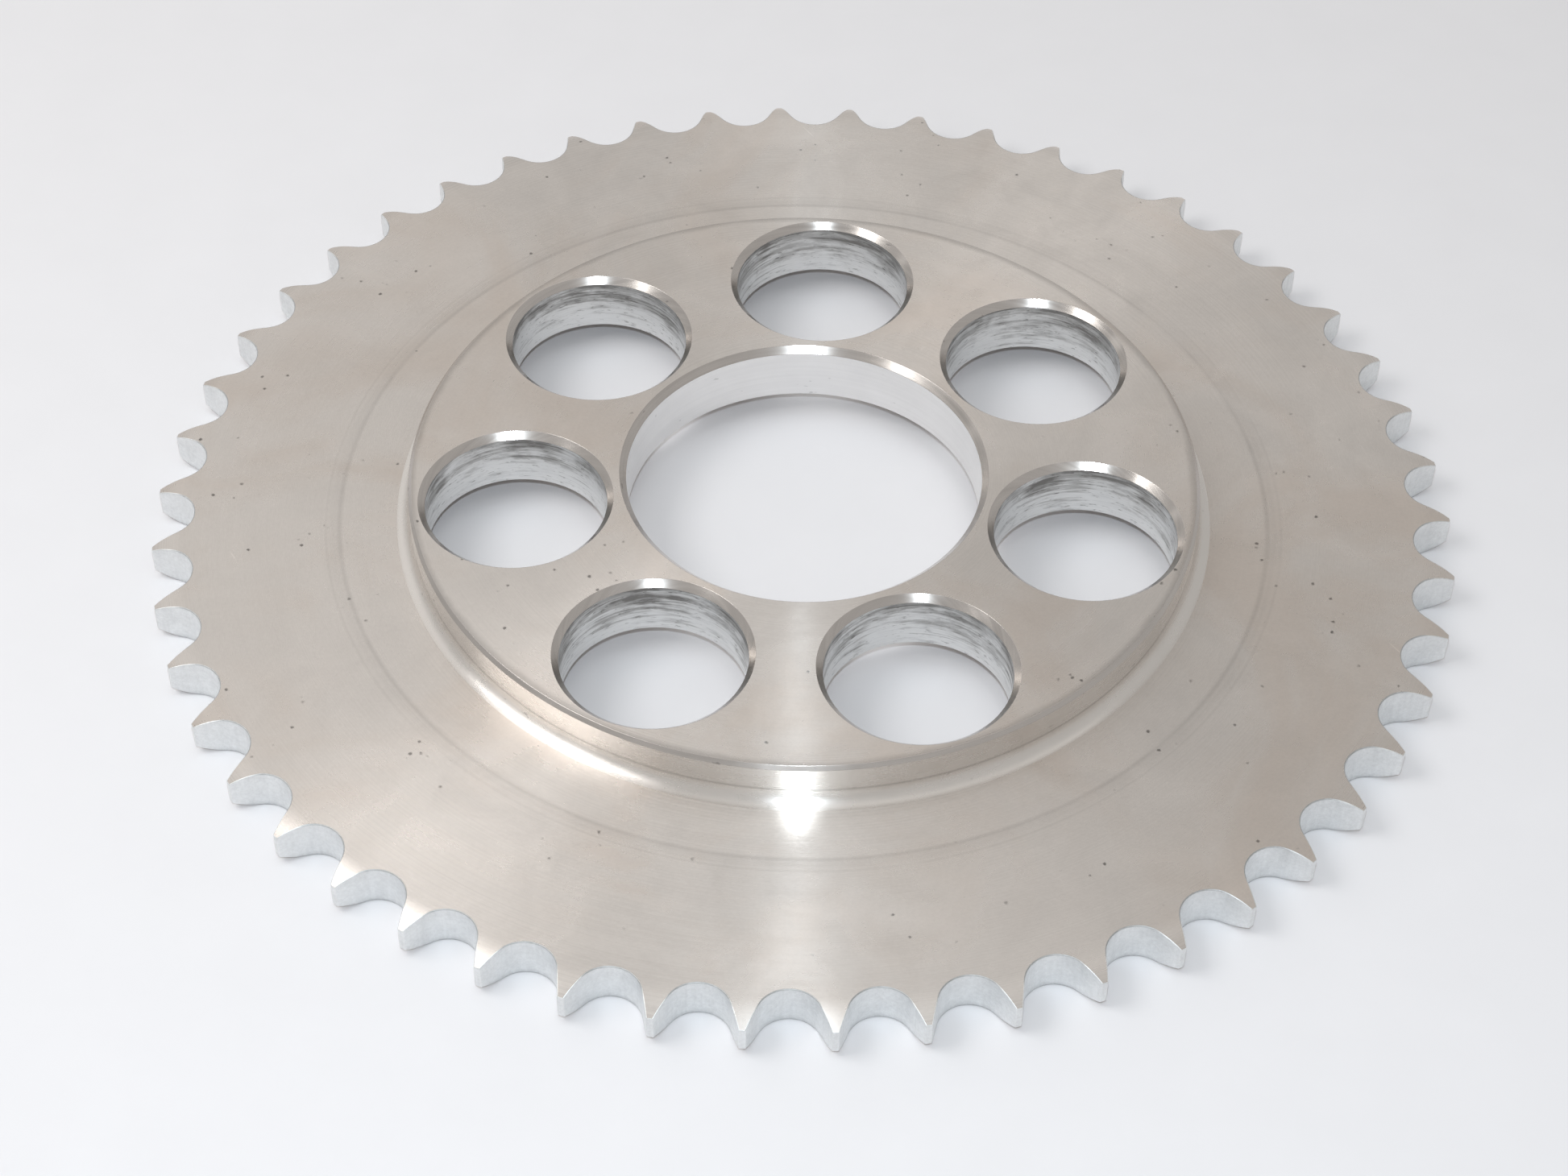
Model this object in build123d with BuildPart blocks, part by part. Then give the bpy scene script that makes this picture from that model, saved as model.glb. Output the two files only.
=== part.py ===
from build123d import *
import math
import os

os.makedirs("parts", exist_ok=True)

# One-piece dished rear sprocket, in mm.
# The axis is Z, the raised hub points to +Z and the rim's underside lies on Z = 0.

# Chain and teeth
chain_pitch = 15.875  # 5/8 in chain
roller_diameter = 10.16  # roller of that chain
tooth_count = 50
tooth_phase = -0.9  # angle from +Y to the nearest tooth, in degrees
tip_land = 1.2  # width of the flat crest along the rim
seat_radius = 6.0  # round bottom of each tooth gap
seat_half_angle = 64.5  # from the gap's centre line to the end of the round bottom
side_round_radius = 12.0  # rounded side of the teeth
side_round_drop = 1.7  # how far the rounded side falls at the crest

# Rim and hub
rim_thickness = 8.7
hub_height = 8.7  # of the hub's face above the rim's face
neck_thickness = 3.7  # between the rim's face and the floor of the recess in the back
hub_edge_chamfer = 0.7
hub_foot_fillet = 2.75
recess_margin = 4.2  # from the hub's wall out to the recess wall
recess_corner_fillet = 1.0

# Holes
hole_count = 7
hole_circle_diameter = 114.6
hole_diameter = 35.8
hole_chamfer = 1.3
inner_land = 1.5  # flat strip between the chamfers of a hole and of the bore
outer_land = 1.1  # flat strip between a hole's chamfer and the hub's edge

# Sizes that follow
pitch_radius = chain_pitch / 2 / math.sin(math.pi / tooth_count)
root_radius = pitch_radius - roller_diameter / 2
hole_radius = hole_diameter / 2
hole_circle_radius = hole_circle_diameter / 2
bore_radius = hole_circle_radius - hole_radius - 2 * hole_chamfer - inner_land
hub_radius = hole_circle_radius + hole_radius + hole_chamfer + outer_land + hub_edge_chamfer
recess_radius = hub_radius + recess_margin
recess_floor = rim_thickness - neck_thickness
hub_top = rim_thickness + hub_height

# One tooth gap, drawn about +Y: a round seat and two straight flanks.
seat_angle = math.radians(seat_half_angle)
seat_centre = root_radius + seat_radius
seat_end_x = seat_radius * math.sin(seat_angle)
seat_end_y = seat_centre - seat_radius * math.cos(seat_angle)
half_pitch_angle = math.pi / tooth_count

# The tip circle is where the straight flanks leave a crest of the wanted width.
flank_slope = math.tan(math.pi / 2 - seat_angle)
tooth_line_x = math.sin(half_pitch_angle)
tooth_line_y = math.cos(half_pitch_angle)
flank_reach = (seat_end_y * tooth_line_x - seat_end_x * tooth_line_y - tip_land / 2) / (
    flank_slope * tooth_line_y - tooth_line_x
)
tip_x = seat_end_x + flank_reach * flank_slope
tip_y = seat_end_y + flank_reach
tip_radius = math.hypot(tip_x, tip_y)

# The gap is drawn a little past the tip circle, so that it cuts right through.
overshoot = 0.3
open_x = tip_x + overshoot * flank_slope
open_y = tip_y + overshoot

side_round_width = math.sqrt(side_round_radius**2 - (side_round_radius - side_round_drop) ** 2)
side_round_start = tip_radius - side_round_width
side_mid_angle = math.asin(side_round_width / side_round_radius) / 2
side_mid_x = side_round_start + side_round_radius * math.sin(side_mid_angle)
side_mid_drop = side_round_radius * (1 - math.cos(side_mid_angle))

# One tooth gap about +Y.
with BuildSketch() as gap:
    with BuildLine():
        ThreePointArc((-seat_end_x, seat_end_y), (0, root_radius), (seat_end_x, seat_end_y))
        Polyline(
            (seat_end_x, seat_end_y),
            (open_x, open_y),
            (-open_x, open_y),
            (-seat_end_x, seat_end_y),
        )
    make_face()

with BuildPart() as sprocket:
    # Half of the cross-section, from the bore out to the crest.
    with BuildSketch(Plane.XZ):
        with BuildLine():
            Line((tip_radius, side_round_drop), (tip_radius, rim_thickness - side_round_drop))
            ThreePointArc(
                (tip_radius, rim_thickness - side_round_drop),
                (side_mid_x, rim_thickness - side_mid_drop),
                (side_round_start, rim_thickness),
            )
            Polyline(
                (side_round_start, rim_thickness),
                (hub_radius, rim_thickness),
                (hub_radius, hub_top),
                (bore_radius, hub_top),
                (bore_radius, recess_floor),
                (recess_radius, recess_floor),
                (recess_radius, 0),
                (side_round_start, 0),
            )
            ThreePointArc((side_round_start, 0), (side_mid_x, side_mid_drop), (tip_radius, side_round_drop))
        make_face()
        hub_foot = vertices().sort_by_distance((hub_radius, rim_thickness))[0]
        fillet(hub_foot, radius=hub_foot_fillet)
        recess_corner = vertices().sort_by_distance((recess_radius, recess_floor))[0]
        fillet(recess_corner, radius=recess_corner_fillet)
    revolve(axis=Axis.Z)

    # Tooth gaps, cut through the rim.
    with BuildSketch():
        with PolarLocations(0, tooth_count, start_angle=tooth_phase + math.degrees(half_pitch_angle)):
            add(gap.sketch)
    extrude(amount=rim_thickness, mode=Mode.SUBTRACT)

    # Large holes round the hub.
    with BuildSketch(Plane.XY.offset(recess_floor)):
        with PolarLocations(hole_circle_radius, hole_count, start_angle=90):
            Circle(hole_radius)
    extrude(amount=hub_top - recess_floor, mode=Mode.SUBTRACT)

    # Edges of the hub's face: the outer edge is broken lightly, the holes and the bore more.
    face_edges = edges().filter_by(GeomType.CIRCLE).filter_by_position(Axis.Z, hub_top, hub_top)
    hole_edges = face_edges.filter_by(lambda edge: edge.radius < hub_radius - outer_land)
    rim_edges = face_edges.filter_by(lambda edge: edge.radius >= hub_radius - outer_land)
    chamfer(hole_edges, length=hole_chamfer)
    chamfer(rim_edges, length=hub_edge_chamfer)

sprocket.part.label = "sprocket"
export_step(sprocket.part, "parts/sprocket.step")
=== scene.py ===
"""A rear chain sprocket: one aluminium piece with a toothed rim and a raised hub, lying on a pale table."""

import math

import bpy
import numpy as np
from mathutils import Matrix, Vector


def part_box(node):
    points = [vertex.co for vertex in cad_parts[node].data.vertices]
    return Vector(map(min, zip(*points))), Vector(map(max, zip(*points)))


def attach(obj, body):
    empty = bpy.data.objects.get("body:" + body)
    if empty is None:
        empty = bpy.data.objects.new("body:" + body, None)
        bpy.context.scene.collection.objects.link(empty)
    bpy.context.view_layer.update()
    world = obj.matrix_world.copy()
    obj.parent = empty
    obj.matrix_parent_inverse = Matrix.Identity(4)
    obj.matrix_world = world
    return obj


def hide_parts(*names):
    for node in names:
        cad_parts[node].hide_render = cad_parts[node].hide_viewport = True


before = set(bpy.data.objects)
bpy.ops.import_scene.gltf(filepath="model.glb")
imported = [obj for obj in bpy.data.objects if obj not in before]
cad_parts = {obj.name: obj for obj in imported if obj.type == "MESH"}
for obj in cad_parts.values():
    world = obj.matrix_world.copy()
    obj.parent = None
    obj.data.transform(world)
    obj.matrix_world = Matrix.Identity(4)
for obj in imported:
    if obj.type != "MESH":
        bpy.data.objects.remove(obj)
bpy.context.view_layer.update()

MM = 0.001
part_low, part_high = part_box("sprocket")

# ---------------------------------------------------------------- sizes, in metres

TOOTH_COUNT = 50
TOOTH_PHASE = math.radians(-0.9)  # from +Y to the nearest tooth
CHAIN_PITCH = 15.875 * MM
ROLLER_DIAMETER = 10.16 * MM
TIP_LAND = 1.2 * MM
SEAT_RADIUS = 6.0 * MM
SEAT_HALF_ANGLE = math.radians(64.5)
SIDE_ROUND_RADIUS = 12.0 * MM
SIDE_ROUND_DROP = 1.7 * MM

RIM_TOP = 8.7 * MM
HUB_TOP = part_high.z
RECESS_FLOOR = 5.0 * MM
HUB_EDGE_CHAMFER = 0.7 * MM
HUB_FOOT_FILLET = 2.75 * MM
RECESS_FILLET = 1.0 * MM

HOLE_COUNT = 7
HOLE_RADIUS = 17.9 * MM
HOLE_CIRCLE = 57.3 * MM
BORE_RADIUS = 35.3 * MM
HUB_RADIUS = 78.3 * MM
RECESS_RADIUS = 82.5 * MM
HOLE_CHAMFER = 1.3 * MM

TOOTH_EDGE = 0.22 * MM  # rounding of the teeth's edges
CREST_CORNER = 0.30 * MM  # rounding of the crests' corners
TURNED_EDGE = 0.10 * MM  # rounding of the turned edges
TEETH_REACH = 1.2 * MM  # how far inside the gaps the teeth's columns of points start

ROOT_RADIUS = CHAIN_PITCH / 2 / math.sin(math.pi / TOOTH_COUNT) - ROLLER_DIAMETER / 2
HALF_PITCH = math.pi / TOOTH_COUNT
SECTOR = math.tau / HOLE_COUNT

# Steps of the surface along each stretch of an outline or a cross-section.
SEAT_STEPS = 8
FLANK_STEPS = 5
CREST_CORNER_STEPS = 5
TOOTH_EDGE_STEPS = 4
TOOTH_FACE_STEPS = 9
FOOT_FILLET_STEPS = 12
RECESS_FILLET_STEPS = 6
TURNED_EDGE_STEPS = 3
CHAMFER_BANDS = 2 * TURNED_EDGE_STEPS + 1  # a chamfer and the rounding on both its sides

# Finishes, by their place in the piece's list of materials.
RIM_FACE, HUB_FACE, HUB_WALL, BACK_FACE, CHAMFER, HOLE_WALL, BORE_WALL, TOOTH_GAP = range(8)


# ---------------------------------------------------------------- the surface

class Skin:
    """Points, normals and faces of one closed surface. Its rings share points, so nothing is welded."""

    def __init__(self):
        self.points, self.normals, self.faces, self.finishes = [], [], [], []
        self.count = 0

    def add(self, points, normals):
        """Adds a grid of points (..., 3) and returns the grid of their numbers."""
        shape = points.shape[:-1]
        number = int(np.prod(shape))
        self.points.append(points.reshape(-1, 3))
        self.normals.append(normals.reshape(-1, 3))
        grid = np.arange(self.count, self.count + number).reshape(shape)
        self.count += number
        return grid

    def face(self, corners, finish):
        """Adds faces, one to a row of corners, all with one finish."""
        self.faces.append(corners)
        self.finishes.append(np.full(len(corners), finish))

    def bands(self, grid, finish):
        """Joins each closed ring of a grid to the next with four-sided faces. The finish is one number for
        all bands or a list of one for each."""
        finishes = np.broadcast_to(finish, len(grid) - 1)
        for first, second, kind in zip(grid[:-1], grid[1:], finishes):
            corners = [first, np.roll(first, -1), np.roll(second, -1), second]
            self.face(np.stack(corners, -1), int(kind))

    def zip_rings(self, first, first_angle, second, second_angle, finish):
        """Joins two rings of different counts with triangles. All steps of both rings are put in the order
        of their angle, and each step makes one triangle with the point that the other ring has reached by
        then."""
        first_count, second_count = len(first), len(second)
        beside = int(np.argmin(abs(np.exp(1j * second_angle) - np.exp(1j * first_angle[0]))))
        second = np.roll(second, -beside)
        second_angle = np.unwrap(np.roll(second_angle, -beside) % math.tau)
        second_angle += math.tau * round((first_angle[0] - second_angle[0]) / math.tau)
        angle = np.concatenate([np.append(first_angle[1:], first_angle[0] + math.tau),
                                np.append(second_angle[1:], second_angle[0] + math.tau)])
        of_first = np.concatenate([np.ones(first_count, bool), np.zeros(second_count, bool)])
        of_first = of_first[np.argsort(angle, kind="stable")]
        i = np.cumsum(of_first) - of_first
        j = np.cumsum(~of_first) - ~of_first
        ahead = np.where(of_first, first[(i + 1) % first_count], second[(j + 1) % second_count])
        self.face(np.stack([first[i % first_count], ahead, second[j % second_count]], -1), finish)

    def mesh(self, name):
        """Turns everything added so far into one smooth-shaded mesh with the normals given."""
        points = np.concatenate(self.points)
        normals = np.concatenate(self.normals)
        mesh = bpy.data.meshes.new(name)
        mesh.from_pydata(points.tolist(), [], [f for group in self.faces for f in group.tolist()])
        mesh.polygons.foreach_set("material_index", np.concatenate(self.finishes).astype(np.int32))
        mesh.polygons.foreach_set("use_smooth", np.ones(len(mesh.polygons), bool))
        mesh.update()
        mesh.normals_split_custom_set_from_vertices(normals.tolist())
        return mesh


def corner_rows(sharp, side_a, side_b, radius, steps):
    """Rounds a sharp edge between two faces. The ball that touches both faces has its centre at the sharp
    point less radius x (normal a + normal b) / (1 + their dot product); the rows turn from normal a to
    normal b about it."""
    dot = (side_a * side_b).sum(-1, keepdims=True)
    centre = sharp - radius * (side_a + side_b) / (1 + dot)
    opening = np.arccos(np.clip(dot, -1, 1))
    share = np.linspace(0, 1, steps + 1).reshape(-1, *([1] * dot.ndim))
    normals = np.sin((1 - share) * opening) * side_a + np.sin(share * opening) * side_b
    normals = normals / np.sin(opening)
    return centre + radius * normals, normals


def profile_rows(corners):
    """Samples a cross-section given as (radius, height, rounding, steps) corners, the material on its left.
    Each corner between the first and the last is rounded by an arc tangent to both its sides. Returns the
    points as (radius, height) and their normals as (radial, upward)."""
    place = np.array([corner[:2] for corner in corners], float)
    along = np.diff(place, axis=0)
    along /= np.linalg.norm(along, axis=1, keepdims=True)
    outward = np.stack([along[:, 1], -along[:, 0]], -1)
    points, normals = [place[0]], [outward[0]]
    for k in range(1, len(corners) - 1):
        before, after = outward[k - 1], outward[k]
        turn = before[0] * after[1] - before[1] * after[0]
        hollow = -1.0 if turn < 0 else 1.0  # a hollow corner is rounded from the open side
        rounding, steps = corners[k][2:]
        rows, aim = corner_rows(place[k], hollow * before, hollow * after, rounding, steps)
        points.extend(rows)
        normals.extend(hollow * aim)
    points.append(place[-1])
    normals.append(outward[-1])
    return np.array(points), np.array(normals)


def turned(skin, rows, aim, angles, centre=(0.0, 0.0)):
    """Carries a cross-section round a vertical axis: x = centre + radius cos(angle) and
    y = centre + radius sin(angle), at the cross-section's own height."""
    cosine, sine = np.cos(angles), np.sin(angles)
    radius, height = rows[:, :1], rows[:, 1:]
    radial, upward = aim[:, :1], aim[:, 1:]
    level = np.zeros_like(cosine)
    points = np.stack([centre[0] + radius * cosine, centre[1] + radius * sine, height + level], -1)
    normals = np.stack([radial * cosine, radial * sine, upward + level], -1)
    return skin.add(points, normals)


def half_gap():
    """Half of one tooth gap in plan, from its middle to the middle of a crest, with outward normals, as
    complex numbers whose real axis is the gap's centre line. The round seat is
    root + seat - seat cos(angle) + i seat sin(angle), the straight flank leaves it tangentially, and a small
    arc that touches the flank and the tip circle rounds the crest's corner. Returns the tip radius too."""
    seat_centre = ROOT_RADIUS + SEAT_RADIUS
    seat_normal = np.exp(-1j * np.linspace(0, SEAT_HALF_ANGLE, SEAT_STEPS + 1))
    seat = seat_centre - SEAT_RADIUS * seat_normal
    end, normal = seat[-1], seat_normal[-1]
    along = 1j * normal
    tooth_line = np.exp(1j * HALF_PITCH)

    # The tip circle is where the flank is half a crest away from the tooth's centre line.
    away = (end * np.conj(tooth_line)).imag
    approach = (along * np.conj(tooth_line)).imag
    tip_radius = abs(end + along * (-TIP_LAND / 2 - away) / approach)

    # Centre of the corner's arc: one corner radius inside the flank and inside the tip circle.
    base = end - CREST_CORNER * normal
    lead = (base * np.conj(along)).real
    reach = -lead + math.sqrt(lead * lead - abs(base) ** 2 + (tip_radius - CREST_CORNER) ** 2)
    centre = base + reach * along
    flank = end + along * reach * np.linspace(0, 1, FLANK_STEPS + 1)[1:]
    corner_turn = np.linspace(np.angle(normal), np.angle(centre), CREST_CORNER_STEPS + 1)[1:]
    corner_normal = np.exp(1j * corner_turn)
    corner = centre + CREST_CORNER * corner_normal
    outline = np.concatenate([seat, flank, corner, [tip_radius * tooth_line]])
    normals = np.concatenate([seat_normal, np.full(FLANK_STEPS, normal), corner_normal, [tooth_line]])
    return outline, normals, tip_radius


def side_round(radius, start):
    """Drop and slope of the teeth's rounded side at a radius. With R the side's own radius, the drop is
    R - sqrt(R^2 - (radius - start)^2), and none inside the start."""
    past = np.maximum(radius - start, 0)
    return SIDE_ROUND_RADIUS - np.sqrt(SIDE_ROUND_RADIUS**2 - past**2), past / SIDE_ROUND_RADIUS


def toothed_rim(skin):
    """The rim's outside. Each column of points stands on one point of the teeth's outline. Its rows run
    outwards on the underside, up the wall and inwards on the top, at the height that the rounded side has at
    radius = inner + share x (outline - inner). Returns the first and the last ring with their angles."""
    half, half_normal, tip_radius = half_gap()
    start = tip_radius - math.sqrt(SIDE_ROUND_RADIUS**2 - (SIDE_ROUND_RADIUS - SIDE_ROUND_DROP) ** 2)
    pitch = np.concatenate([np.conj(half[:0:-1]), half[:-1]])
    pitch_normal = np.concatenate([np.conj(half_normal[:0:-1]), half_normal[:-1]])
    gap_angle = math.pi / 2 + TOOTH_PHASE + HALF_PITCH * (1 + 2 * np.arange(TOOTH_COUNT))
    outline = (np.exp(1j * gap_angle)[:, None] * pitch).ravel()
    wall = (np.exp(1j * gap_angle)[:, None] * pitch_normal).ravel()

    radial = outline / abs(outline)
    drop, lean = side_round(abs(outline), start)
    upright = np.sqrt(1 - lean**2)
    sharp = np.stack([outline.real, outline.imag, RIM_TOP - drop], -1)
    top_normal = np.stack([lean * radial.real, lean * radial.imag, upright], -1)
    wall_normal = np.stack([wall.real, wall.imag, np.zeros_like(drop)], -1)
    rounded, rounded_normal = corner_rows(sharp, wall_normal, top_normal, TOOTH_EDGE, TOOTH_EDGE_STEPS)

    edge = rounded[-1, :, 0] + 1j * rounded[-1, :, 1]
    share = np.linspace(1, 0, TOOTH_FACE_STEPS + 1)[1:, None]
    inner = ROOT_RADIUS - TEETH_REACH
    radius = inner + share * (abs(edge) - inner)
    direction = edge / abs(edge)
    drop, lean = side_round(radius, start)
    top = np.stack([radius * direction.real, radius * direction.imag, RIM_TOP - drop], -1)
    top_normal = np.stack([lean * direction.real, lean * direction.imag, np.sqrt(1 - lean**2)], -1)

    # The underside is the top turned over.
    upper = np.concatenate([rounded, top])
    upper[..., 2] = np.minimum(upper[..., 2], RIM_TOP)
    upper_normal = np.concatenate([rounded_normal, top_normal])
    lower = upper[::-1] * [1, 1, -1] + [0, 0, RIM_TOP]
    lower_normal = upper_normal[::-1] * [1, 1, -1]
    grid = skin.add(np.concatenate([lower, upper]), np.concatenate([lower_normal, upper_normal]))
    sides = [RIM_FACE] * TOOTH_FACE_STEPS
    skin.bands(grid, sides + [TOOTH_GAP] * (2 * TOOTH_EDGE_STEPS + 1) + sides)
    return grid[0], grid[-1], np.unwrap(np.angle(direction))


class Sectors:
    """Shares a face round the hub into one sector for each hole. From the hole's centre, rays turned by
    even steps meet the sector's boundary: the outer circle, a straight line, the inner circle and the other
    line."""

    OUTER = 46  # rays that meet the outer circle
    SIDE = 26  # rays that meet each straight line
    INNER = 22  # rays that meet the inner circle

    def __init__(self, outer, inner):
        """Works out the rays and where they meet circles of these two radii and the lines between them. On
        a circle a ray's reach solves a quadratic, and on a line it follows from the sines of two angles."""
        half = SECTOR / 2
        outer_corner = outer * np.exp(1j * half) - HOLE_CIRCLE
        inner_corner = inner * np.exp(1j * half) - HOLE_CIRCLE
        outer_end, inner_end = np.angle(outer_corner), np.angle(inner_corner)
        to_outer = np.linspace(-outer_end, outer_end, self.OUTER + 1)[:-1]
        to_side = np.linspace(outer_end, inner_end, self.SIDE + 1)[:-1]
        to_inner = np.linspace(inner_end, math.tau - inner_end, self.INNER + 1)[:-1]
        to_back = np.linspace(math.tau - inner_end, math.tau - outer_end, self.SIDE + 1)[:-1]
        self.rays = np.concatenate([to_outer, to_side, to_inner, to_back])

        far = np.sqrt(outer**2 - (HOLE_CIRCLE * np.sin(to_outer)) ** 2)
        reach = -HOLE_CIRCLE * np.cos(to_outer) + far
        outer_angle = np.angle(HOLE_CIRCLE + reach * np.exp(1j * to_outer))
        near = np.sqrt(inner**2 - (HOLE_CIRCLE * np.sin(to_inner)) ** 2)
        reach = -HOLE_CIRCLE * np.cos(to_inner) - near
        inner_angle = np.angle(HOLE_CIRCLE + reach * np.exp(1j * to_inner))
        reach = HOLE_CIRCLE * math.sin(half) / np.sin(to_side[1:] - half)
        on_line = abs(HOLE_CIRCLE + reach * np.exp(1j * to_side[1:]))
        self.line_share = (outer - on_line) / (outer - inner)

        # The rays sweep the inner arc backwards, so its angles change sign to run with the ring.
        self.centres = math.pi / 2 + SECTOR * np.arange(HOLE_COUNT)
        self.outer_angle = (self.centres[:, None] + outer_angle).ravel()
        self.inner_angle = (self.centres[:, None] - inner_angle).ravel()

    def face(self, skin, outer_ring, inner_ring, hole_rings, height, up, finish):
        """Fills a flat face: point = (1 - share) x boundary + share x hole's edge, at one height."""
        aim = np.array([0, 0, 1.0 if up else -1.0])
        step = np.array([1 / 3, 2 / 3])[:, None, None]
        points = np.concatenate(skin.points)
        corner_out = outer_ring[:: self.OUTER]
        corner_in = inner_ring[:: self.INNER]
        share = self.line_share[None, :, None]
        lines = (1 - share) * points[corner_out][:, None] + share * points[corner_in][:, None]
        line = skin.add(lines, np.broadcast_to(aim, lines.shape))
        points = np.concatenate([points, lines.reshape(-1, 3)])
        closed_inner = np.append(inner_ring, inner_ring[0])
        for k, hole in enumerate(hole_rings):
            after = (k + 1) % HOLE_COUNT
            outer_run = outer_ring[self.OUTER * k: self.OUTER * (k + 1)]
            inner_run = closed_inner[self.INNER * k + 1: self.INNER * (k + 1) + 1][::-1]
            loop = np.concatenate([outer_run, [corner_out[after]], line[after], inner_run,
                                   [corner_in[k]], line[k][::-1]])
            between = (1 - step) * points[loop] + step * points[hole]
            between[..., 2] = height
            middle = skin.add(between, np.broadcast_to(aim, between.shape))
            grid = np.concatenate([loop[None], middle, hole[None]])
            skin.bands(grid if up else grid[::-1], finish)


def opening(skin, radius, wall, angles, centre=(0.0, 0.0)):
    """The bore or one hole: chamfer, wall and lower edge, turned about its own axis from the top down."""
    rows, aim = profile_rows([
        (radius + HOLE_CHAMFER + TURNED_EDGE / 2, HUB_TOP, 0, 0),
        (radius + HOLE_CHAMFER, HUB_TOP, TURNED_EDGE, TURNED_EDGE_STEPS),
        (radius, HUB_TOP - HOLE_CHAMFER, TURNED_EDGE, TURNED_EDGE_STEPS),
        (radius, RECESS_FLOOR, 1.5 * TURNED_EDGE, TURNED_EDGE_STEPS),
        (radius + 4 * TURNED_EDGE, RECESS_FLOOR, 0, 0)])
    grid = turned(skin, rows, aim, angles, centre)
    wall_bands = [wall] * (1 + TURNED_EDGE_STEPS)
    skin.bands(grid, [HUB_FACE] + [CHAMFER] * CHAMFER_BANDS + wall_bands + [BACK_FACE])
    return grid


def sprocket_mesh():
    """The whole closed surface: teeth, hub, recess, bore and holes, joined by flat rings and faces."""
    skin = Skin()
    rim_under, rim_over, rim_angle = toothed_rim(skin)
    face_edge = HUB_RADIUS - HUB_EDGE_CHAMFER
    sectors = Sectors(face_edge - TURNED_EDGE / 2, BORE_RADIUS + HOLE_CHAMFER + TURNED_EDGE / 2)

    # Hub outside: foot fillet, wall and edge chamfer.
    rows, aim = profile_rows([
        (HUB_RADIUS + 2 * HUB_FOOT_FILLET, RIM_TOP, 0, 0),
        (HUB_RADIUS, RIM_TOP, HUB_FOOT_FILLET, FOOT_FILLET_STEPS),
        (HUB_RADIUS, HUB_TOP - HUB_EDGE_CHAMFER, TURNED_EDGE, TURNED_EDGE_STEPS),
        (face_edge, HUB_TOP, TURNED_EDGE, TURNED_EDGE_STEPS),
        (face_edge - TURNED_EDGE / 2, HUB_TOP, 0, 0)])
    hub = turned(skin, rows, aim, sectors.outer_angle)
    wall_bands = [HUB_WALL] * (FOOT_FILLET_STEPS + 1)
    skin.bands(hub, [RIM_FACE] + wall_bands + [CHAMFER] * CHAMFER_BANDS + [HUB_FACE])
    skin.zip_rings(rim_over, rim_angle, hub[0], sectors.outer_angle, RIM_FACE)

    # Recess in the back: the edge of its floor, corner fillet, wall and mouth.
    rows, aim = profile_rows([
        (RECESS_RADIUS - 2 * RECESS_FILLET, RECESS_FLOOR, 0, 0),
        (RECESS_RADIUS, RECESS_FLOOR, RECESS_FILLET, RECESS_FILLET_STEPS),
        (RECESS_RADIUS, 0, 2 * TURNED_EDGE, TURNED_EDGE_STEPS),
        (RECESS_RADIUS + 2 * MM, 0, 0, 0)])
    recess = turned(skin, rows, aim, sectors.outer_angle)
    skin.bands(recess, BACK_FACE)
    skin.zip_rings(recess[-1], sectors.outer_angle, rim_under, rim_angle, RIM_FACE)

    # Bore, and the holes from +Y round to the left.
    bore = opening(skin, BORE_RADIUS, BORE_WALL, sectors.inner_angle)
    holes = []
    for centre in sectors.centres:
        place = HOLE_CIRCLE * math.cos(centre), HOLE_CIRCLE * math.sin(centre)
        holes.append(opening(skin, HOLE_RADIUS, HOLE_WALL, sectors.rays + centre, place))

    sectors.face(skin, hub[-1], bore[0], [hole[0] for hole in holes], HUB_TOP, True, HUB_FACE)
    sectors.face(skin, recess[0], bore[-1], [hole[-1] for hole in holes], RECESS_FLOOR, False, BACK_FACE)
    return skin.mesh("sprocket_surface")


# ---------------------------------------------------------------- shader helpers

class Value:
    """A shader socket that Python's operators work on; each operation adds Math nodes."""

    def __init__(self, shader, socket):
        self.shader = shader
        self.socket = socket

    def math(self, operation, *others):
        inputs = dict(enumerate((self, *others)))
        return self.shader.value("ShaderNodeMath", {"operation": operation}, inputs)

    def __add__(self, other):
        return self.math("ADD", other)

    def __radd__(self, other):
        return self + other

    def __sub__(self, other):
        return self.math("SUBTRACT", other)

    def __rsub__(self, other):
        return self * -1 + other

    def __mul__(self, other):
        return self.math("MULTIPLY", other)

    def __rmul__(self, other):
        return self * other

    def __pow__(self, other):
        return self.math("POWER", other)

    def __abs__(self):
        return self.math("ABSOLUTE")

    def at_most(self, other):
        return self.math("MINIMUM", other)

    def ramp(self, low, high, to_low=0.0, to_high=1.0, smooth=True):
        """The value turned from low..high into to_low..to_high, kept inside them."""
        settings = {"interpolation_type": "SMOOTHSTEP" if smooth else "LINEAR"}
        inputs = dict(enumerate((self, low, high, to_low, to_high)))
        return self.shader.value("ShaderNodeMapRange", settings, inputs)


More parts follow.
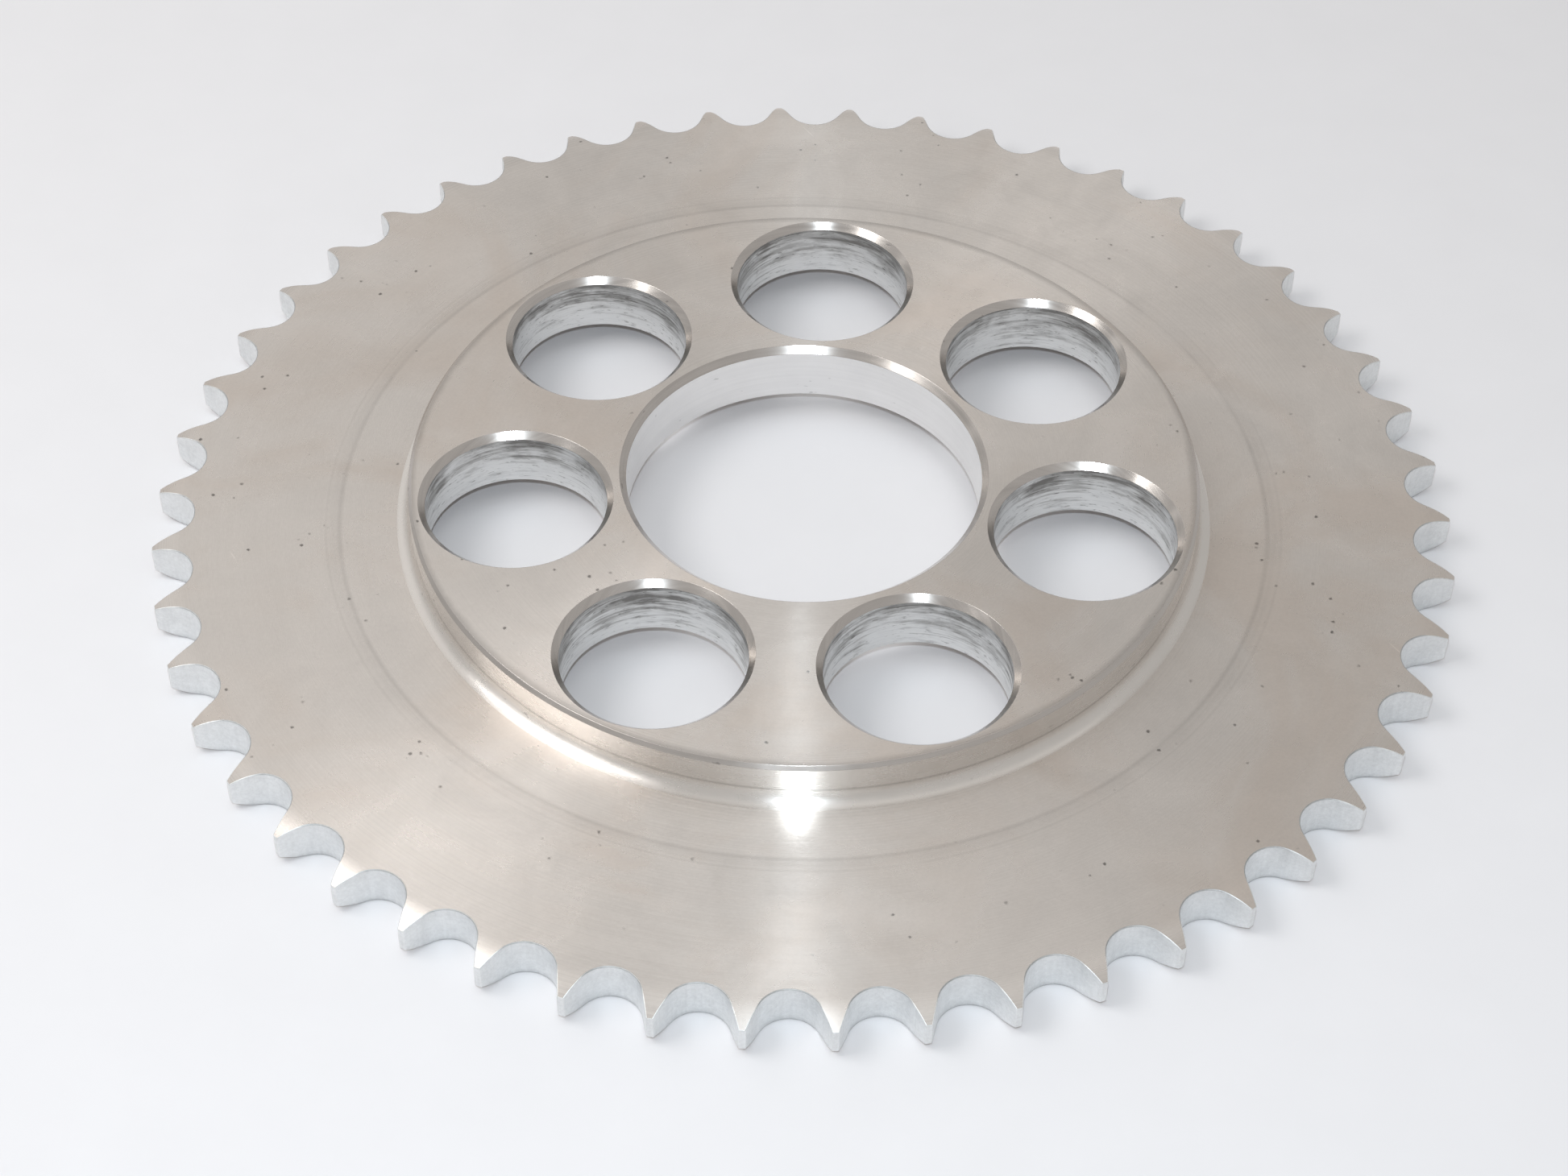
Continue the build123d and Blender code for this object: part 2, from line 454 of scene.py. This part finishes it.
class Finish:
    """One material: its nodes, and the coordinates and patterns that the finishes share."""

    def __init__(self, name):
        self.material = bpy.data.materials.new(name)
        self.material.use_nodes = True
        self.tree = self.material.node_tree
        self.tree.nodes.clear()
        self.at = self.value("ShaderNodeTexCoord", output="Object")
        axes = self.node("ShaderNodeSeparateXYZ", {}, {0: self.at})
        self.x, self.y, self.z = (Value(self, axes.outputs[i]) for i in range(3))
        self.radius = (self.x * self.x + self.y * self.y) ** 0.5

    def node(self, kind, settings=None, inputs=None):
        """Adds a node: first its settings, then each input's value or link."""
        node = self.tree.nodes.new(kind)
        for key, value in (settings or {}).items():
            setattr(node, key, value)
        for key, value in (inputs or {}).items():
            if isinstance(value, Value):
                self.tree.links.new(value.socket, node.inputs[key])
            else:
                node.inputs[key].default_value = value
        return node

    def value(self, kind, settings=None, inputs=None, output=0):
        """Adds a node and returns one of its outputs."""
        return Value(self, self.node(kind, settings, inputs).outputs[output])

    def vector(self, x, y, z):
        return self.value("ShaderNodeCombineXYZ", {}, {0: x, 1: y, 2: z})

    def along_rings(self, across, slow, fast):
        """Coordinates that change slowly round the piece and quickly across its turned rings."""
        return self.vector(self.x * slow, self.y * slow, across * fast)

    def along_lines(self, degrees, slow, fast):
        """Coordinates turned about +Z that change slowly one way, for thin straight scratches."""
        cosine, sine = math.cos(math.radians(degrees)), math.sin(math.radians(degrees))
        across = self.x * cosine + self.y * sine
        along = self.y * cosine - self.x * sine
        return self.vector(across * fast, along * slow, self.z * slow)

    def noise(self, at, scale, detail=3.0, roughness=0.55, warp=0.0):
        """A soft random pattern between 0 and 1, with its middle at 0.5."""
        inputs = {"Vector": at, "Scale": scale, "Detail": detail, "Roughness": roughness, "Distortion": warp}
        return self.value("ShaderNodeTexNoise", {}, inputs, "Fac")

    def cells(self, at, scale):
        """Distance to the nearest of many scattered points."""
        return self.value("ShaderNodeTexVoronoi", {}, {"Vector": at, "Scale": scale}, "Distance")

    def blend(self, share, first, second):
        """The first colour with a share of the second mixed in."""
        return self.value("ShaderNodeMix", {"data_type": "RGBA"}, {0: share, 6: first, 7: second}, 2)

    def shade(self, colour, brightness):
        """The colour times a varying brightness."""
        colour = colour if isinstance(colour, Value) else colour[:3]
        grey = self.vector(brightness, brightness, brightness)
        return self.value("ShaderNodeVectorMath", {"operation": "MULTIPLY"}, {0: colour, 1: grey})

    def bump(self, height, distance):
        return self.value("ShaderNodeBump", {}, {"Height": height, "Distance": distance})

    def surface(self, colour, roughness, normal=None, stretch=0.0, metallic=1.0):
        """The shader itself, as metal unless told otherwise, with its gloss stretched across the rings."""
        inputs = {"Base Color": colour, "Roughness": roughness, "Metallic": metallic, "Anisotropic": stretch,
                  "Anisotropic Rotation": ACROSS_THE_RINGS if stretch else 0.0}
        if normal is not None:
            inputs["Normal"] = normal
        return self.value("ShaderNodeBsdfPrincipled", {}, inputs)

    def mix(self, share, first, second):
        """The first shader with a share of the second mixed in."""
        return self.value("ShaderNodeMixShader", {}, {0: share, 1: first, 2: second})

    def done(self, shader):
        """Ends the material with this shader."""
        self.node("ShaderNodeOutputMaterial", {}, {0: shader})
        return self.material


# ---------------------------------------------------------------- finishes

ACROSS_THE_RINGS = 0.25  # a quarter turn, so that the gloss spreads across the turned rings
WARM_GREY = (0.78, 0.735, 0.695, 1)
STAINED_GREY = (0.72, 0.655, 0.60, 1)
CLEAN_METAL = (0.84, 0.83, 0.82, 1)
WARM_METAL = (0.825, 0.79, 0.755, 1)
# Chamfers: darker than the faces, a painted dark reflection of the room round them.
CHAMFER_SHADED_GREY = (0.60, 0.565, 0.535, 1)
RUBBED_METAL = (0.84, 0.84, 0.83, 1)
MATTE_METAL = (0.83, 0.84, 0.84, 1)
DARK_MARK = (0.20, 0.19, 0.18, 1)

# Rings a tool left on the rim, and a painted shade line at the hub wall's foot: (radius or height, width,
# loss of brightness).
RIM_RINGS = [(92.4 * MM, 0.8 * MM, 0.13), (93.6 * MM, 1.4 * MM, 0.05), (95.1 * MM, 0.5 * MM, 0.06)]
FOOT_SHADE_LINES = [(RIM_TOP + HUB_FOOT_FILLET - 0.05 * MM, 0.45 * MM, 0.22)]
WORN_EDGE = (HUB_RADIUS - 0.6 * MM, 1.8 * MM)  # of the hub's face, as (radius, width)


def turned_face(name, rings=(), worn_edge=None):
    """Turned flat metal: fine concentric rings and grain, faint wider bands, soft stains, specks, short
    scratches, rings left by a tool and a darker worn edge. Part of it has a crisper gloss than the rest."""
    f = Finish(name)
    across = f.radius - f.z
    fine = f.noise(f.along_rings(across, 12, 1700), 1.0, 1)
    band = f.noise(f.along_rings(across, 8, 330), 1.0, 3)
    grain = f.noise(f.at, 1800, 2, 0.7)
    cloud = f.noise(f.at, 55, 4, 0.6, 0.8)
    stain = f.noise(f.at, 17, 4, 0.6, 1.2)
    light = 1.0 + (fine - 0.5) * 0.03 + (band - 0.5) * 0.02 + (grain - 0.5) * 0.12
    light = light + (cloud - 0.5) * 0.24 + (stain - 0.5) * 0.22

    broken = f.noise(f.along_rings(across, 45, 60), 1.0, 2).ramp(0.30, 0.55, 0.35, 1)
    for radius, width, depth in rings:
        light = light - abs(f.radius - radius).ramp(0, width, depth, 0) * broken
    if worn_edge:
        radius, width = worn_edge
        light = light - (f.radius + (cloud - 0.5) * 3 * MM).ramp(radius - width, radius, 0, 0.26)

    rare = f.noise(f.at, 90, 2).ramp(0.56, 0.62)
    speck = (f.cells(f.at, 330) + (grain - 0.5) * 0.2).ramp(0.06, 0.16, 1, 0) * rare
    scratch = f.noise(f.along_lines(38, 45, 1100), 1.0, 1).ramp(0.79, 0.81)
    scratch = scratch * f.noise(f.at, 40, 1).ramp(0.50, 0.60)
    light = light * (1 - speck * 0.55) * (1 + scratch * 0.18)

    colour = f.shade(f.blend(stain.ramp(0.40, 0.68), WARM_GREY, STAINED_GREY), light)
    rough = 0.54 + (stain - 0.5) * 0.12 + (cloud - 0.5) * 0.10 + (fine - 0.5) * 0.02 + speck * 0.2
    normal = f.bump(fine * 0.4 + grain * 0.4 - speck * 2, 0.0025 * MM)
    broad = f.surface(colour, rough, normal, stretch=0.7)
    crisp = f.surface(colour, rough - 0.27, normal, stretch=1.0)
    return f.done(f.mix(fine.ramp(0.30, 0.70, 0.54, 0.66), broad, crisp))


def turned_wall(name, colour, roughness, streaks, stretch, lines=()):
    """Smoothly turned walls and edges: faint rings round the wall, light patches, nicks and painted shade
    lines.
    """
    f = Finish(name)
    across = f.z + f.radius * 0.37
    streak = f.noise(f.along_rings(across, 30, 1300), 1.0, 3)
    patch = f.noise(f.at, 90, 3, 0.6)
    nick = f.noise(f.along_rings(across, 330, 900), 1.0, 2).ramp(0.70, 0.76)
    light = 1.0 + (streak - 0.5) * streaks + (patch - 0.5) * 0.16 - nick * 0.3
    # Painted shade: dark lines at the given heights, such as the fillet's shadow at the hub wall's foot.
    for height, width, depth in lines:
        light = light - abs(f.z - height).ramp(0, width, depth, 0)
    rough = roughness + (streak - 0.5) * 0.10 + (patch - 0.5) * 0.12
    normal = f.bump(streak - nick, 0.004 * MM)
    return f.done(f.surface(f.shade(colour, light), rough, normal, stretch))


def worn_hole():
    """Hole walls rubbed by pins: clean metal under dark streaks round the wall, thicker towards the top."""
    f = Finish("worn_hole_wall")
    height = f.z.ramp(RECESS_FLOOR, HUB_TOP, smooth=False)
    streak = f.noise(f.along_rings(f.z, 60, 1500), 1.0, 5, 0.7)
    smear = f.noise(f.along_rings(f.z, 90, 420), 1.0, 5, 0.65)
    fleck = f.noise(f.along_rings(f.z, 520, 2400), 1.0, 3, 0.6)
    patch = f.noise(f.at, 95, 3)
    grime = (streak + (height - 0.5) * 0.22 + (patch - 0.5) * 0.6).ramp(0.44, 0.70, 0, 0.60)
    grime = grime + (smear + (height - 0.5) * 0.20).ramp(0.46, 0.66, 0, 0.42)
    grime = (grime + fleck.ramp(0.60, 0.70, 0, 0.5)).at_most(0.88)
    light = 0.96 + (streak - 0.5) * 0.45 + (patch - 0.5) * 0.25
    colour = f.shade(f.blend(grime, RUBBED_METAL, DARK_MARK), light)
    normal = f.bump(streak + fleck * 0.5, 0.010 * MM)
    return f.done(f.surface(colour, 0.34 + grime * 0.25, normal, stretch=0.4))


def milled_gap():
    """Tooth gaps: matte cut metal with a sandy grain, faint cutter lines down the wall, painted shade along
    the lower edge and a darker top edge.
    """
    f = Finish("milled_tooth_gap")
    sand = f.noise(f.at, 1500, 3, 0.7)
    patch = f.noise(f.at, 260, 3)
    lines = f.noise(f.vector(f.x * 1400, f.y * 1400, f.z * 60), 1.0, 2)
    # Painted shade: darker towards the wall's lower edge, with a thin darker line right at it.
    lower = f.z.ramp(0, 1.6 * MM, 0.14, 0) + f.z.ramp(0, 0.5 * MM, 0.25, 0)
    # Darker top edge: partly a burr line, partly painted shade that dulls the rounded edge's highlight.
    upper = f.z.ramp(RIM_TOP - 0.35 * MM, RIM_TOP, 0, 0.4)
    light = 0.98 + (sand - 0.5) * 0.34 + (patch - 0.5) * 0.20 + (lines - 0.5) * 0.12 - lower - upper
    rough = 0.52 + (sand - 0.5) * 0.2
    normal = f.bump(sand + lines * 0.5, 0.02 * MM)
    return f.done(f.surface(f.shade(MATTE_METAL, light), rough, normal))


# ---------------------------------------------------------------- the piece

sprocket = bpy.data.objects.new("sprocket_body", sprocket_mesh())
bpy.context.scene.collection.objects.link(sprocket)
finishes = {
    RIM_FACE: turned_face("turned_rim_face", RIM_RINGS),
    HUB_FACE: turned_face("turned_hub_face", worn_edge=WORN_EDGE),
    HUB_WALL: turned_wall("turned_hub_wall", WARM_METAL, 0.27, streaks=0.14, stretch=1.0, lines=FOOT_SHADE_LINES),
    BACK_FACE: turned_face("turned_back_face"),
    CHAMFER: turned_wall("cut_chamfer", CHAMFER_SHADED_GREY, 0.20, streaks=0.34, stretch=0.3),
    HOLE_WALL: worn_hole(),
    BORE_WALL: turned_wall("turned_bore_wall", CLEAN_METAL, 0.36, streaks=0.14, stretch=0.4),
    TOOTH_GAP: milled_gap(),
}
for place in sorted(finishes):
    sprocket.data.materials.append(finishes[place])
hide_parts("sprocket")
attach(sprocket, "root")


# ---------------------------------------------------------------- floor, light and camera

TABLE_HALF = 3.0
TABLE_GAP = 0.02 * MM  # keeps the table's surface off the part's underside
TABLE_WHITE = (0.825, 0.818, 0.835, 1)
ROOM_COLOUR = (1, 0.985, 0.965, 1)
ROOM_STRENGTH = 0.53

FOCAL_LENGTH = 73.118  # this and the sensor's width are in mm
SENSOR_WIDTH = 36
CAMERA_AZIMUTH = 3.0756
CAMERA_ELEVATION = 44.5485
CAMERA_DISTANCE = 0.63763  # from the middle of the rim's face
CAMERA_AIM = Vector((-2.186 * MM, -24.744 * MM, RIM_TOP))  # on the rim's face
CAMERA_ROLL = 0.6965


def around(azimuth, elevation, distance):
    """The step from the part's middle to a place round it: azimuth 0 is towards -Y and 90 towards +X."""
    turn, rise = math.radians(azimuth), math.radians(elevation)
    flat = distance * math.cos(rise)
    return Vector((flat * math.sin(turn), -flat * math.cos(turn), distance * math.sin(rise)))


def table():
    """A plain pale table under the part."""
    low, high = -TABLE_HALF, TABLE_HALF
    mesh = bpy.data.meshes.new("table")
    mesh.from_pydata([(low, low, 0), (high, low, 0), (high, high, 0), (low, high, 0)], [], [(0, 1, 2, 3)])
    piece = bpy.data.objects.new("table", mesh)
    piece.location.z = part_low.z - TABLE_GAP
    bpy.context.scene.collection.objects.link(piece)
    f = Finish("pale_table")
    grain = f.noise(f.at, 60, 4)
    colour = f.shade(TABLE_WHITE, 0.98 + grain * 0.04)
    piece.data.materials.append(f.done(f.surface(colour, 0.5 + grain * 0.1, metallic=0.0)))


def softbox(name, azimuth, elevation, distance, width, height, power, colour):
    """A soft area light that faces the part's middle."""
    place = around(azimuth, elevation, distance)
    lamp = bpy.data.lights.new(name, "AREA")
    lamp.shape = "RECTANGLE"
    lamp.size = width
    lamp.size_y = height
    lamp.energy = power
    lamp.color = colour
    piece = bpy.data.objects.new(name, lamp)
    piece.location = place
    piece.rotation_mode = "QUATERNION"
    piece.rotation_quaternion = (-place).to_track_quat("-Z", "Y")
    bpy.context.scene.collection.objects.link(piece)


def room():
    """An even, faintly warm light from all round."""
    world = bpy.data.worlds.new("studio")
    world.use_nodes = True
    background = world.node_tree.nodes["Background"].inputs
    background["Color"].default_value = ROOM_COLOUR
    background["Strength"].default_value = ROOM_STRENGTH
    bpy.context.scene.world = world


def camera():
    """Stands above the front of the part, aimed at a point on the rim's face and rolled a little."""
    lens = bpy.data.cameras.new("camera")
    lens.lens = FOCAL_LENGTH
    lens.sensor_width = SENSOR_WIDTH
    piece = bpy.data.objects.new("camera", lens)
    place = Vector((0, 0, RIM_TOP)) + around(CAMERA_AZIMUTH, CAMERA_ELEVATION, CAMERA_DISTANCE)
    level = (CAMERA_AIM - place).to_track_quat("-Z", "Y").to_matrix().to_4x4()
    roll = Matrix.Rotation(math.radians(CAMERA_ROLL), 4, "Z")
    piece.matrix_world = Matrix.Translation(place) @ level @ roll
    bpy.context.scene.collection.objects.link(piece)
    bpy.context.scene.camera = piece


table()
softbox("flash", azimuth=3.05, elevation=50.5, distance=0.65, width=0.012, height=0.012,
        power=1.2, colour=(0.80, 0.91, 1))
softbox("window", azimuth=-76, elevation=53, distance=0.85, width=0.45, height=0.35,
        power=2.05, colour=(1, 0.99, 0.98))
softbox("side_wall", azimuth=-135, elevation=38, distance=1.0, width=0.9, height=0.7,
        power=0.6, colour=(1, 0.985, 0.97))
softbox("ceiling", azimuth=150, elevation=80, distance=1.8, width=1.4, height=1.4,
        power=1.8, colour=(1, 0.98, 0.96))
room()
camera()
bpy.context.scene.view_settings.view_transform = "Standard"
